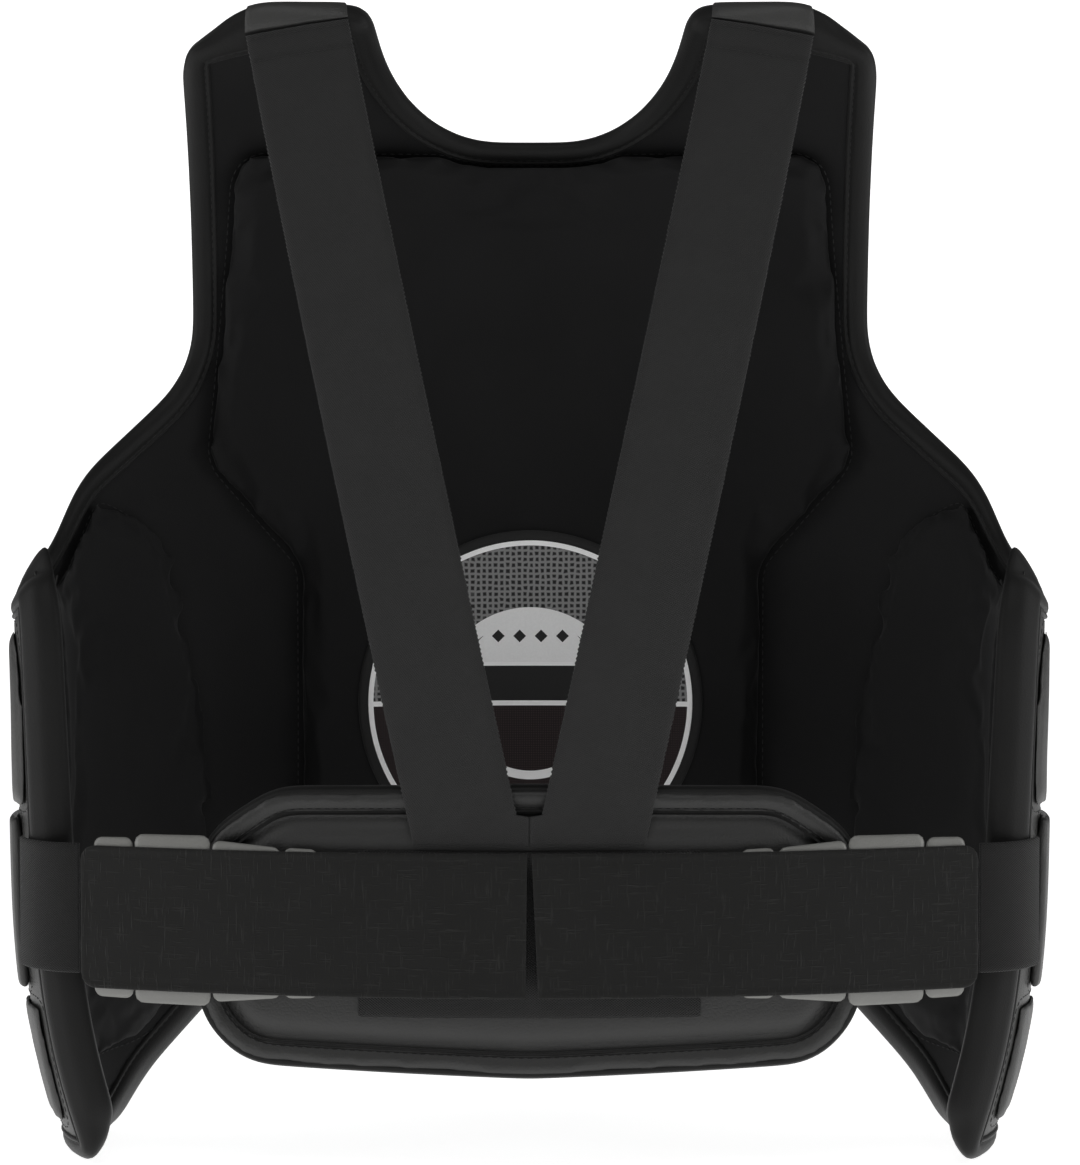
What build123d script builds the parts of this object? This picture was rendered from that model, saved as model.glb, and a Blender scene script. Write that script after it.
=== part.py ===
"""Boxing body protector: a padded shell for the chest, belly and flanks.

The shell is a layered wall (glossy cover, foam, lining) bound with tape all round.
Two elastic webbings run from the shoulders down to a padded lumbar rest, and two
belt flaps, carried by elastic bands at the rear edges, close over that rest.

Frame, in millimetres: +X to the wearer's right, +Y forward, +Z up. The origin is on
the torso's axis at the height of the belt.
"""
import os
from math import cos, radians, sin, sqrt

from build123d import *

os.makedirs("parts", exist_ok=True)

# ---------------------------------------------------------------- driving sizes
# Outer surface of the shell, from hip to shoulder:
# (height, half width, half depth, centre in Y, lean of the wall in degrees)
torso_stations = [
    (-135, 223, 143, -20, 0),
    (-60, 243, 148, -20, 0),
    (40, 250, 150, -20, 0),
    (170, 252, 150, -20, 2),
    (270, 246, 142, -20, 12),
    (335, 236, 126, -22, 26),
    (385, 222, 98, -28, 40),
    (420, 205, 66, -36, 50),
    (450, 188, 26, -44, 56),
]
waist_station = torso_stations[2]
outline_reach = 400.0

# Corners of the shell's edge and their radii. Front view, X > 0: ((x, z), radius)
front_outline = [
    ((0, 373), 0),
    ((66.5, 373), 62),
    ((81, 440), 5),
    ((140, 440), 35),
    ((169, 416), 12),
    ((170, 258), 60),
    ((225, 204), 45),
    ((243, 157), 40),
    ((280, 128), 5),
    ((280, -122), 5),
    ((211, -122), 7),
    ((196, -96), 30),
    ((142, -38), 18),
    ((92, -84), 60),
    ((0, -84), 0),
]
# Side view of the rear edge: ((y, z), radius)
shoulder_rear_y = -12.0
rear_outline = [
    ((shoulder_rear_y, 520), 0),
    ((shoulder_rear_y, 232), 40),
    ((-66, 150), 60),
    ((-80, -122), 10),
    ((-60, -outline_reach), 0),
    ((outline_reach, -outline_reach), 0),
    ((outline_reach, 520), 0),
]

cover_thickness = 2.0
foam_thickness = 10.0
lining_thickness = 1.5
layer_gap = 0.3
foam_seam_x = 165.0

binding_width = 11.0
binding_thickness = 1.2
neck_binding_x = 112.0
neck_binding_low_z = 330.0
hem_binding_x = 150.0
rear_binding_top_z = 120.0

# Raised pads: outlines as corners, each list with one corner radius
chest_panel_thickness = 12.0
chest_panel_corners = [(0, 340), (112, 350), (138, 318), (140, 262), (152, 208), (0, 196)]
belly_panel_thickness = 14.0
belly_panel_corners = [(0, 188), (160, 198), (170, 120), (160, 20), (120, -22), (60, -48), (0, -54)]
side_panel_thickness = 7.0
side_panel_corners = [(-58, 48), (-56, 110), (-34, 158), (12, 196), (80, 222), (80, 48)]
hip_panel_thickness = 7.0
hip_panel_corners = [(-62, -46), (80, -46), (66, -88), (10, -100), (-60, -106)]
waist_panel_thickness = 4.5
waist_panel_corners = [(-48, 43), (80, 43), (80, -41), (-48, -41)]
shoulder_panel_thickness = 8.0
shoulder_panel_corners = [(-94, 362), (-150, 362), (-158, 395), (-152, 420), (-120, 432), (-98, 432)]
pad_corner = 16.0
small_corner = 5.0
panel_margin = 1.5

inner_chest_pad_thickness = 12.0
inner_chest_pad_corners = [(0, 366), (147, 366), (163, 212), (118, 158), (118, -30), (60, -62), (0, -68)]
inner_side_pad_thickness = 9.0
inner_side_pad_corners = [(-64, -88), (-62, 90), (-42, 168), (12, 200), (58, 182), (71, 95), (68, -76)]
inner_side_pad_corner = 36.0
patch_radius = 89.0
patch_centre_z = 87.0
patch_thickness = 1.2

# Shoulder webbing. Back line: (height, rearmost y of the inner face, plan radius)
webbing_width = 50.8
webbing_thickness = 2.2
strap_top_x = 115.0
strap_top_z = 432.0
strap_bottom_x = 28.5
strap_bottom_z = 37.0
strap_stations = [
    (20, -121.2, 601),
    (75, -121.2, 601),
    (150, -115, 640),
    (220, -103, 700),
    (290, -84, 780),
    (350, -61, 860),
    (400, -35, 940),
    (460, 6, 1000),
]

# Lumbar rest, in layers round one vertical axis behind the shell
back_axis_y = 480.0
lumbar_inner_radius = 585.0
lumbar_corners = [(0, 65), (120, 63), (157, 38), (157.5, -44), (137, -68), (0, -73)]
lumbar_corner = 34.0
lumbar_skin_thickness = 1.2
lumbar_foam_thickness = 12.0
hook_panel_width = 161.0
hook_panel_height = 79.0
hook_panel_centre_z = -4.5
hook_panel_thickness = 2.0

# Belt flaps and the elastic bands that carry them
belt_height = 70.0
belt_centre_z = 0.5
belt_end_x = 212.8
belt_corner = 7.0
belt_split_gap = 5.0
flap_face_thickness = 1.5
flap_backing_thickness = 3.6
flap_hook_width = 66.0
flap_hook_height = 60.0
segment_gap = 1.0
segment_edges = [207.0, 187.0, 149.5, 115.5, 98.0]
segment_heights = [77.0, 81.0, 77.0, 71.0]
band_height = 62.0
band_centre_z = 4.0
band_slack = 0.4
band_tape_y = -61.0
band_corner_y = -74.0
band_bend = (9.0, 3.6)
hinge_gap = 0.8
body_clearance = 0.6

# ------------------------------------------------------ depths below the cover
foam_depth = cover_thickness + layer_gap
lining_depth = foam_depth + foam_thickness + layer_gap
wall_depth = lining_depth + lining_thickness
inner_pad_depth = wall_depth + layer_gap
binding_outset = binding_thickness + layer_gap
patch_depth = inner_pad_depth + inner_chest_pad_thickness + layer_gap


def save(part, name):
    """Label a finished piece and write it."""
    part.label = name
    export_step(part, f"parts/{name}.step")


def save_pair(part, name):
    """Write a right-hand piece and its mirror image for the left."""
    save(part, f"{name}_right")
    save(mirror(part, about=Plane.YZ), f"{name}_left")


# ------------------------------------------------------------- forms and edges
def torso(depth):
    """The torso form, with its surface `depth` inside the cover."""
    with BuildPart() as form:
        for height, half_width, half_depth, centre_y, lean in torso_stations:
            inward = depth * cos(radians(lean))
            downward = depth * sin(radians(lean))
            with BuildSketch(Plane.XY.offset(height - downward)):
                with Locations((0, centre_y)):
                    Ellipse(half_width - inward, half_depth - inward)
        loft()
    return form.part


def round_corners(outline):
    """Fillet the open sketch at each corner of `outline` that has a radius."""
    for (across, up), radius in outline:
        if radius:
            here = [v for v in vertices() if abs(abs(v.X) - abs(across)) + abs(v.Y - up) < 0.01]
            fillet(here, radius)


def envelope(inset):
    """Everything inside the protector's edge, drawn in by `inset`."""
    with BuildPart() as limits:
        with BuildSketch(Plane.XZ):
            with BuildLine():
                Polyline(*[corner for corner, radius in front_outline])
                mirror(about=Plane.YZ)
            make_face()
            round_corners(front_outline)
            if inset:
                offset(amount=-inset)
        extrude(amount=outline_reach, both=True)
        with BuildSketch(Plane.YZ):
            with BuildLine():
                Polyline(*[corner for corner, radius in rear_outline], close=True)
            make_face()
            round_corners(rear_outline)
            if inset:
                offset(amount=-inset)
        extrude(amount=outline_reach, both=True, mode=Mode.INTERSECT)
    return limits.part


def front_prism(corners, radius):
    """A front-view outline, mirrored about the middle, in front of the torso's axis."""
    with BuildPart() as prism:
        with BuildSketch(Plane.XZ):
            with BuildLine():
                Polyline(*corners)
                mirror(about=Plane.YZ)
            make_face()
            fillet([v for v in vertices() if abs(v.X) > 1], radius)
        extrude(amount=-outline_reach)
    return prism.part


def right_prism(plane, corners, radius):
    """A closed outline of the right-hand side, as a prism along its plane's normal."""
    with BuildPart() as prism:
        with BuildSketch(plane):
            with BuildLine():
                Polyline(*corners, close=True)
            make_face()
            fillet(vertices(), radius)
        extrude(amount=outline_reach)
    return prism.part


def block(low_x, high_x, low_z=-outline_reach, high_z=2 * outline_reach):
    """A block right through the body, between two X values and two heights."""
    with BuildPart() as piece:
        with BuildSketch(Plane.XZ):
            with Locations(((low_x + high_x) / 2, (low_z + high_z) / 2)):
                Rectangle(high_x - low_x, high_z - low_z)
        extrude(amount=outline_reach, both=True)
    return piece.part


def layer(outer_depth, inner_depth, *limits):
    """One layer of the wall between two depths, kept inside every one of `limits`."""
    with BuildPart() as sheet:
        add(torso(outer_depth))
        add(torso(inner_depth), mode=Mode.SUBTRACT, clean=False)
        for limit in limits:
            add(limit, mode=Mode.INTERSECT, clean=False)
    return sheet.part


def portion(part, limit):
    """The part of a finished piece that lies inside `limit`."""
    with BuildPart() as piece:
        add(part)
        add(limit, mode=Mode.INTERSECT, clean=False)
    return piece.part


# ------------------------------------------------------------------ shell wall
wall_edge = envelope(binding_outset)
save(layer(0, cover_thickness, wall_edge), "outer_cover")
save(layer(lining_depth, wall_depth, wall_edge), "inner_lining")

foam = layer(foam_depth, foam_depth + foam_thickness, wall_edge)
save(portion(foam, block(-foam_seam_x, foam_seam_x)), "foam_front")
save_pair(portion(foam, block(foam_seam_x + layer_gap, outline_reach)), "foam_side")

# -------------------------------------------------------------------- bindings
# Folded tape: a channel over the wall's edge, with the wall itself cut out of it
with BuildPart() as edge_frame:
    add(envelope(0))
    add(envelope(binding_width), mode=Mode.SUBTRACT, clean=False)

with BuildPart() as tape:
    add(layer(-binding_outset, wall_depth + binding_outset, edge_frame.part))
    add(layer(-layer_gap, wall_depth + layer_gap, envelope(binding_thickness)),
        mode=Mode.SUBTRACT, clean=False)

save(portion(tape.part, block(-neck_binding_x, neck_binding_x, neck_binding_low_z)), "neck_binding")
save(portion(tape.part, block(-hem_binding_x, hem_binding_x, high_z=rear_binding_top_z)),
     "hem_binding")
save_pair(portion(tape.part, block(neck_binding_x + layer_gap, outline_reach, rear_binding_top_z)),
          "armhole_binding")
save_pair(portion(tape.part, block(hem_binding_x + layer_gap, outline_reach,
                                   high_z=rear_binding_top_z - layer_gap)), "rear_binding")

# ------------------------------------------------------------ raised outer pads
pad_edge = envelope(binding_width + panel_margin)
save(layer(-layer_gap - chest_panel_thickness, -layer_gap,
           front_prism(chest_panel_corners, pad_corner), pad_edge), "chest_panel")
save(layer(-layer_gap - belly_panel_thickness, -layer_gap,
           front_prism(belly_panel_corners, pad_corner), pad_edge), "belly_panel")
save_pair(layer(-layer_gap - side_panel_thickness, -layer_gap,
                right_prism(Plane.YZ, side_panel_corners, small_corner), pad_edge), "side_panel")
save_pair(layer(-layer_gap - hip_panel_thickness, -layer_gap,
                right_prism(Plane.YZ, hip_panel_corners, small_corner), pad_edge), "hip_panel")
save_pair(layer(-layer_gap - waist_panel_thickness, -layer_gap,
                right_prism(Plane.YZ, waist_panel_corners, small_corner)), "waist_panel")
shoulder_plane = Plane(origin=(0, shoulder_rear_y + layer_gap, 0), x_dir=(-1, 0, 0), z_dir=(0, 1, 0))
save_pair(layer(-layer_gap - shoulder_panel_thickness, -layer_gap,
                right_prism(shoulder_plane, shoulder_panel_corners, small_corner), pad_edge),
          "shoulder_panel")

# ------------------------------------------------------------------ inner pads
save(layer(inner_pad_depth, inner_pad_depth + inner_chest_pad_thickness,
           front_prism(inner_chest_pad_corners, pad_corner), pad_edge), "inner_chest_pad")
save_pair(layer(inner_pad_depth, inner_pad_depth + inner_side_pad_thickness,
                right_prism(Plane.YZ, inner_side_pad_corners, inner_side_pad_corner), pad_edge),
          "inner_side_pad")

with BuildPart() as patch_limit:
    with BuildSketch(Plane.XZ):
        with Locations((0, patch_centre_z)):
            Circle(patch_radius)
    extrude(amount=-outline_reach)
save(layer(patch_depth, patch_depth + patch_thickness, patch_limit.part), "round_patch")

# ------------------------------------------------------------- shoulder straps
def strap_form(depth):
    """A solid whose rear face is the strap's inner face, moved out by `depth`."""
    with BuildPart() as form:
        for height, rear_y, radius in strap_stations:
            with BuildSketch(Plane.XY.offset(height)):
                with Locations((0, rear_y + radius)):
                    Circle(radius + depth)
        loft()
    return form.part


half_webbing = webbing_width / 2
strap_slope = (strap_top_x - strap_bottom_x) / (strap_top_z - strap_bottom_z)
strap_half_span = half_webbing * sqrt(1 + strap_slope ** 2)
strap_overrun = 60.0
strap_high_x = strap_top_x + strap_slope * strap_overrun
strap_rear_limit = shoulder_rear_y - layer_gap

with BuildPart() as strap:
    with BuildSketch(Plane.XZ):
        with BuildLine():
            Polyline((strap_bottom_x - strap_half_span, strap_bottom_z),
                     (strap_bottom_x + strap_half_span, strap_bottom_z),
                     (strap_high_x + strap_half_span, strap_top_z + strap_overrun),
                     (strap_high_x - strap_half_span, strap_top_z + strap_overrun), close=True)
        make_face()
        with Locations((-half_webbing - layer_gap / 2, strap_bottom_z)):
            Rectangle(webbing_width, outline_reach, mode=Mode.SUBTRACT)
    extrude(amount=outline_reach)
    add(strap_form(webbing_thickness), mode=Mode.INTERSECT, clean=False)
    add(strap_form(0), mode=Mode.SUBTRACT, clean=False)
    split(bisect_by=Plane.XZ.offset(-strap_rear_limit), keep=Keep.TOP)
save_pair(strap.part, "shoulder_strap")

# ----------------------------------------------------------------- lumbar rest
lumbar_foam_radius = lumbar_inner_radius + lumbar_skin_thickness + layer_gap
lumbar_cover_radius = lumbar_foam_radius + lumbar_foam_thickness + layer_gap
lumbar_outer_radius = lumbar_cover_radius + lumbar_skin_thickness
hook_panel_radius = lumbar_outer_radius + layer_gap
flap_hook_radius = hook_panel_radius + hook_panel_thickness + body_clearance
flap_outer_radius = flap_hook_radius + flap_backing_thickness + layer_gap + flap_face_thickness


def back_sheet(inner_radius, thickness, outline):
    """A sheet curved round the back: a rear-view outline between two radii."""
    with BuildPart() as sheet:
        extrude(outline, amount=outline_reach)
        with BuildSketch(Plane.XY.offset(-outline_reach)):
            with Locations((0, back_axis_y)):
                Circle(inner_radius + thickness)
                Circle(inner_radius, mode=Mode.SUBTRACT)
        extrude(amount=2 * outline_reach, mode=Mode.INTERSECT)
    return sheet.part


def lumbar_outline(inset):
    """The lumbar rest's rounded outline in rear view."""
    with BuildSketch(Plane.XZ) as outline:
        with BuildLine():
            Polyline(*lumbar_corners)
            mirror(about=Plane.YZ)
        make_face()
        fillet([v for v in vertices() if abs(v.X) > 1], lumbar_corner)
        if inset:
            offset(amount=-inset)
    return outline.sketch


lumbar_edge = lumbar_outline(binding_outset)
save(back_sheet(lumbar_inner_radius, lumbar_skin_thickness, lumbar_edge), "lumbar_lining")
save(back_sheet(lumbar_foam_radius, lumbar_foam_thickness, lumbar_edge), "lumbar_foam")
save(back_sheet(lumbar_cover_radius, lumbar_skin_thickness, lumbar_edge), "lumbar_cover")

with BuildPart() as lumbar_binding:
    add(back_sheet(lumbar_inner_radius - binding_outset,
                   lumbar_outer_radius - lumbar_inner_radius + binding_outset + layer_gap,
                   lumbar_outline(0)))
    add(back_sheet(lumbar_inner_radius - layer_gap,
                   lumbar_outer_radius - lumbar_inner_radius + 2 * layer_gap,
                   lumbar_outline(binding_thickness)), mode=Mode.SUBTRACT)
    add(back_sheet(lumbar_inner_radius - 2 * binding_outset,
                   lumbar_outer_radius - lumbar_inner_radius + 4 * binding_outset,
                   lumbar_outline(binding_width)), mode=Mode.SUBTRACT)
save(lumbar_binding.part, "lumbar_binding")

with BuildSketch(Plane.XZ) as hook_panel_outline:
    with Locations((0, hook_panel_centre_z)):
        Rectangle(hook_panel_width, hook_panel_height)
save(back_sheet(hook_panel_radius, hook_panel_thickness, hook_panel_outline.sketch), "hook_panel")

# ------------------------------------------------------------------ belt flaps
belt_start_x = belt_split_gap / 2

with BuildSketch(Plane.XZ) as face_outline:
    with Locations(((belt_start_x + belt_end_x) / 2, belt_centre_z)):
        Rectangle(belt_end_x - belt_start_x, belt_height)
    fillet(vertices().group_by(Axis.X)[-1], belt_corner)
save_pair(back_sheet(flap_outer_radius - flap_face_thickness, flap_face_thickness,
                     face_outline.sketch), "flap_face")

with BuildSketch(Plane.XZ) as segment_outline:
    for outer_x, inner_x, height in zip(segment_edges, segment_edges[1:], segment_heights):
        with Locations(((outer_x + inner_x + segment_gap) / 2, belt_centre_z)):
            Rectangle(outer_x - inner_x - segment_gap, height)
save_pair(back_sheet(flap_hook_radius, flap_backing_thickness, segment_outline.sketch),
          "flap_segments")

with BuildSketch(Plane.XZ) as flap_hook_outline:
    with Locations((belt_start_x + flap_hook_width / 2 + panel_margin, belt_centre_z)):
        Rectangle(flap_hook_width, flap_hook_height)
save_pair(back_sheet(flap_hook_radius, flap_backing_thickness, flap_hook_outline.sketch),
          "flap_hook")

# ------------------------------------------------------------------ side bands
hinge_x = belt_end_x + hinge_gap / 2
hinge_y = back_axis_y - sqrt(flap_outer_radius ** 2 - hinge_x ** 2)
band_half = webbing_thickness / 2
band_front_y = waist_panel_corners[0][0] - 2 * layer_gap


def beside_cover(y, clearance):
    """The point at `clearance` from the cover's outline at the waist, beside `y` on it."""
    half_width, half_depth, centre_y = waist_station[1:4]
    x = half_width * sqrt(1 - ((y - centre_y) / half_depth) ** 2)
    outward = Vector(x / half_width ** 2, (y - centre_y) / half_depth ** 2).normalized()
    return (x + outward.X * clearance, y + outward.Y * clearance)


band_over_cover = layer_gap + band_half + band_slack
band_over_binding = binding_outset + layer_gap + band_half + band_slack
band_points = [
    beside_cover(band_front_y, band_over_cover),
    beside_cover(band_tape_y, band_over_binding),
    beside_cover(band_corner_y, band_over_binding),
    (hinge_x + band_bend[0], hinge_y + band_bend[1]),
    (hinge_x + hinge_gap / 2, hinge_y + band_half + band_slack),
]
with BuildPart() as side_band:
    with BuildSketch(Plane.XY.offset(band_centre_z - band_height / 2)):
        with BuildLine():
            Spline(*band_points)
        trace(line_width=webbing_thickness)
    extrude(amount=band_height)
save_pair(side_band.part, "side_band")
print(f"hinge x {hinge_x:.3f} y {hinge_y:.3f}, flap outer radius {flap_outer_radius:.2f}")
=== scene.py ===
# %% [markdown]
# # Boxing body protector, seen from the back
#
# The CAD frame holds every solid and joint of a boxing body protector. This script dresses
# it with cloth, leather, tape and webbing. Units are metres: +X is the wearer's right, +Y
# is forward and +Z is up, so a camera on -Y sees the hollow back.
#
# The skill to learn here is edge work on a soft shell. A rolled tape follows a line that is
# read off the solids, and the same line then carries the seams and the stitches, so the
# trim follows when the solids change.

# %% Load the frame
import math
from collections import defaultdict

import bmesh
import bpy
from mathutils import Matrix, Vector, kdtree, noise
from mathutils.bvhtree import BVHTree


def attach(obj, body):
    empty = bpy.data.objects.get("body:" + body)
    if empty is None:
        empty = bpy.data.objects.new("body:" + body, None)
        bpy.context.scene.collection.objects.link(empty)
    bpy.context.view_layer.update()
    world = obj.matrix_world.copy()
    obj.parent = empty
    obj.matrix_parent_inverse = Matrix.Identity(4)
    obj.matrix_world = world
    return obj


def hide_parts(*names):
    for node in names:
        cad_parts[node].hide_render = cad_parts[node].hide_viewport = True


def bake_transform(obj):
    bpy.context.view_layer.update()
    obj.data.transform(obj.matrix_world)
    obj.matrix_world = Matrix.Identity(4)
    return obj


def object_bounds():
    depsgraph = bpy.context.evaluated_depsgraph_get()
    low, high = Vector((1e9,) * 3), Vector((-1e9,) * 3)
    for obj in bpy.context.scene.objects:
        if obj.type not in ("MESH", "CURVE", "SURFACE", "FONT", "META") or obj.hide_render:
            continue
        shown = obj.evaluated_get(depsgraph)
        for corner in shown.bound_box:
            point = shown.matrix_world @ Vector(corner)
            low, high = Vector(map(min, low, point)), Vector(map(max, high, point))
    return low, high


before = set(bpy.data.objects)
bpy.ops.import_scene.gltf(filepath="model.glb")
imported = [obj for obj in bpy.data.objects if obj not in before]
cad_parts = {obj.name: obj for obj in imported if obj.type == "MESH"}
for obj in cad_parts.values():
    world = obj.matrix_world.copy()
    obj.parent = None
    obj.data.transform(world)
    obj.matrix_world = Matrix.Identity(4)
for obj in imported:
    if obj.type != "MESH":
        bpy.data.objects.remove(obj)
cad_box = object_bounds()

MM = 0.001
scene = bpy.context.scene
print("CAD box", [[round(v, 4) for v in corner] for corner in cad_box])

# %% [markdown]
# ## Finishes
#
# A material is a graph of nodes, but its maths reads best as plain Python. A socket is
# wrapped in a small class whose operators add Math nodes, so a finish becomes a few
# expressions. The other way, a long list of nodes and links, hides what the finish does.

# %% Shader maths
class Link:
    """An output socket that can be added, multiplied and compared."""

    def __init__(self, socket):
        self.socket = socket
        self.tree = socket.id_data

    def _math(self, operation, *others):
        node = self.tree.nodes.new("ShaderNodeMath")
        node.operation = operation
        for place, value in enumerate((self, *others)):
            plug(self.tree, node.inputs[place], value)
        return Link(node.outputs[0])

    def __add__(self, other):
        return self._math("ADD", other)

    def __sub__(self, other):
        return self._math("SUBTRACT", other)

    def __mul__(self, other):
        return self._math("MULTIPLY", other)

    def __gt__(self, other):
        return self._math("GREATER_THAN", other)

    def __lt__(self, other):
        return self._math("LESS_THAN", other)

    def __abs__(self):
        return self._math("ABSOLUTE")

    def __rsub__(self, other):
        return self * -1 + other

    __radd__ = __add__
    __rmul__ = __mul__

    def fraction(self):
        return self._math("FRACT")

    def sine(self):
        return self._math("SINE")

    def root(self):
        return self._math("SQRT")

    def smaller(self, other):
        return self._math("MINIMUM", other)

    def larger(self, other):
        return self._math("MAXIMUM", other)


def plug(tree, socket, value):
    """Connect a link to a socket, or set the socket's own value."""
    if isinstance(value, Link):
        tree.links.new(value.socket, socket)
    else:
        socket.default_value = value


class Finish:
    """A material under construction, with one method for every node."""

    def __init__(self, name):
        self.material = bpy.data.materials.new(name)
        self.material.use_nodes = True
        self.tree = self.material.node_tree
        self.shader = self.tree.nodes["Principled BSDF"]

    def node(self, kind, settings=None, output=0, sockets=None, **inputs):
        """Add a node; `sockets` goes by number, other inputs by name. No output means all."""
        made = self.tree.nodes.new(kind)
        for key, value in (settings or {}).items():
            setattr(made, key, value)
        for number, value in (sockets or {}).items():
            plug(self.tree, made.inputs[number], value)
        for key, value in inputs.items():
            plug(self.tree, made.inputs[key.replace("_", " ")], value)
        if output is None:
            return [Link(socket) for socket in made.outputs]
        return Link(made.outputs[output])

    def place(self, scale=(1, 1, 1), turn=(0, 0, 0), shift=(0, 0, 0)):
        """Object coordinates, shifted, turned and scaled."""
        where = self.node("ShaderNodeTexCoord", output=3)
        return self.node("ShaderNodeMapping", Vector=where, Location=shift, Rotation=turn,
                         Scale=scale)

    def axes(self, vector):
        return self.node("ShaderNodeSeparateXYZ", output=None, Vector=vector)

    def noise(self, scale, detail=3.0, roughness=0.55, vector=None):
        return self.node("ShaderNodeTexNoise", Vector=vector or self.place(), Scale=scale,
                         Detail=detail, Roughness=roughness)

    def cells(self, scale, vector=None, feature="DISTANCE_TO_EDGE", randomness=1.0):
        return self.node("ShaderNodeTexVoronoi", {"feature": feature}, Scale=scale,
                         Vector=vector or self.place(), Randomness=randomness)

    def mix(self, factor, first, second):
        return self.node("ShaderNodeMix", {"data_type": "RGBA"}, 2, {6: first, 7: second},
                         Factor=factor)

    def ramp(self, value, low, high):
        """0 below `low`, 1 above `high`."""
        return self.node("ShaderNodeMapRange", Value=value, From_Min=low, From_Max=high)

    def bump(self, height, strength, distance, normal=None):
        inputs = dict(Height=height, Strength=strength, Distance=distance)
        if normal is not None:
            inputs["Normal"] = normal
        return self.node("ShaderNodeBump", **inputs)

    def finish(self, **inputs):
        for key, value in inputs.items():
            plug(self.tree, self.shader.inputs[key.replace("_", " ")], value)
        return self.material


def grey(level, tint=0.0):
    """A near-neutral colour; a positive tint is cooler, a negative one warmer."""
    return (level, level, level * (1 + tint), 1.0)


# %% [markdown]
# The lining is a plain black cloth over foam. It is matte, with a fine grain and faint
# cloudy patches where the nap lies differently. A picture of cloth could be mapped on,
# but two noises give the same look at any size and need no image. A little sheen lightens
# the cloth where it turns away from the eye, as short fibres do.

# %% Lining cloth
def lining_finish():
    cloth = Finish("lining cloth")
    grain = cloth.noise(1900, 2.0)
    clouds = cloth.noise(14, 4.0)
    colour = cloth.mix(cloth.ramp(clouds, 0.35, 0.7), grey(0.0045, 0.03), grey(0.0075, 0.03))
    bumps = cloth.bump(grain, 0.35, 0.0004, cloth.bump(clouds, 0.25, 0.002))
    return cloth.finish(Base_Color=colour, Roughness=cloth.ramp(clouds, 0.0, 1.0) * 0.15 + 0.62,
                        Sheen_Weight=0.06, Sheen_Roughness=0.45, Specular_IOR_Level=0.16,
                        Normal=bumps)


# %% [markdown]
# The outside is synthetic leather: a fine pebble grain under a thin lacquer. Distance to
# the edges of Voronoi cells gives the pebbles, a noise gives the creases, and both go to
# bump, because the grain is far too fine to model. Roughness follows a broader noise, so
# that the gloss is worn in places. One function makes all three leathers of the object.

# %% Synthetic leathers
def leather_finish(name, level, roughness, coat, grain=620.0, depth=0.3, tint=-0.04):
    leather = Finish(name)
    pebbles = leather.ramp(leather.cells(grain), 0.0, 0.25)
    clouds = leather.noise(22, 4.0)
    creases = leather.noise(95, 5.0, 0.65)
    colour = leather.mix(clouds, grey(level * 0.85, tint), grey(level * 1.15, tint))
    normal = leather.bump(pebbles, depth, 0.0003, leather.bump(creases, 0.3, 0.0009))
    worn = leather.ramp(clouds, 0.2, 0.8) * 0.12 + roughness
    return leather.finish(Base_Color=colour, Roughness=worn, Coat_Weight=coat,
                          Coat_Roughness=0.2, Normal=normal)


# %% [markdown]
# Tape, webbing, loop and hook fabrics differ in their weave. The tape is nearly smooth. The
# webbing has cross ribs crossed by finer cords, which two sine waves multiply into. The
# loop fabric has uneven threads both ways, which stretched noise gives better than a
# regular wave. The hook tape is a field of tiny points.

# %% Tape, webbing and fastener cloths
def tape_finish():
    tape = Finish("edge tape")
    grain = tape.noise(1300, 3.0)
    clouds = tape.noise(30, 3.0)
    colour = tape.mix(clouds, grey(0.0045, -0.03), grey(0.0075, -0.03))
    return tape.finish(Base_Color=colour, Roughness=0.52, Sheen_Weight=0.08, Sheen_Roughness=0.4,
                       Specular_IOR_Level=0.2, Normal=tape.bump(grain, 0.4, 0.0004))


def waves(distance, pitch):
    """A sine wave that repeats every `pitch` along a coordinate."""
    return (distance * (2 * math.pi / pitch)).sine()


def webbing_finish(name, turn, level=0.021):
    """Elastic webbing: ribs across the strap, a finer line of cords along it."""
    web = Finish(name)
    across, _, along = web.axes(web.place(turn=(0, turn, 0)))
    ribs = waves(along, 1.15 * MM)
    cords = waves(across, 1.4 * MM)
    weave = ribs * cords
    clouds = web.noise(60, 4.0)
    colour = web.mix(web.ramp(weave, -1, 1) * 0.5 + clouds * 0.5, grey(level * 0.72),
                     grey(level * 1.25))
    return web.finish(Base_Color=colour, Roughness=0.72, Sheen_Weight=0.1, Sheen_Roughness=0.5,
                      Specular_IOR_Level=0.2, Normal=web.bump(weave, 0.6, 0.0003))


def linen_finish():
    """Loop fabric: uneven threads both ways, like coarse linen."""
    linen = Finish("loop fabric")
    long_threads = linen.noise(1.0, 2.0, 0.5, linen.place(scale=(90, 90, 1000)))
    short_threads = linen.noise(1.0, 2.0, 0.5, linen.place(scale=(1000, 1000, 90)))
    fibres = linen.noise(2300, 2.0)
    clouds = linen.noise(35, 3.0)
    threads = linen.ramp(long_threads.larger(short_threads), 0.6, 0.72)
    base = linen.mix(clouds, grey(0.0085, -0.08), grey(0.0115, -0.02))
    colour = linen.mix(threads, base, grey(0.018, -0.05))
    normal = linen.bump(threads, 0.7, 0.0006, linen.bump(fibres, 0.3, 0.0003))
    return linen.finish(Base_Color=colour, Roughness=0.8, Sheen_Weight=0.1, Sheen_Roughness=0.5,
                        Specular_IOR_Level=0.16, Normal=normal)


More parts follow.
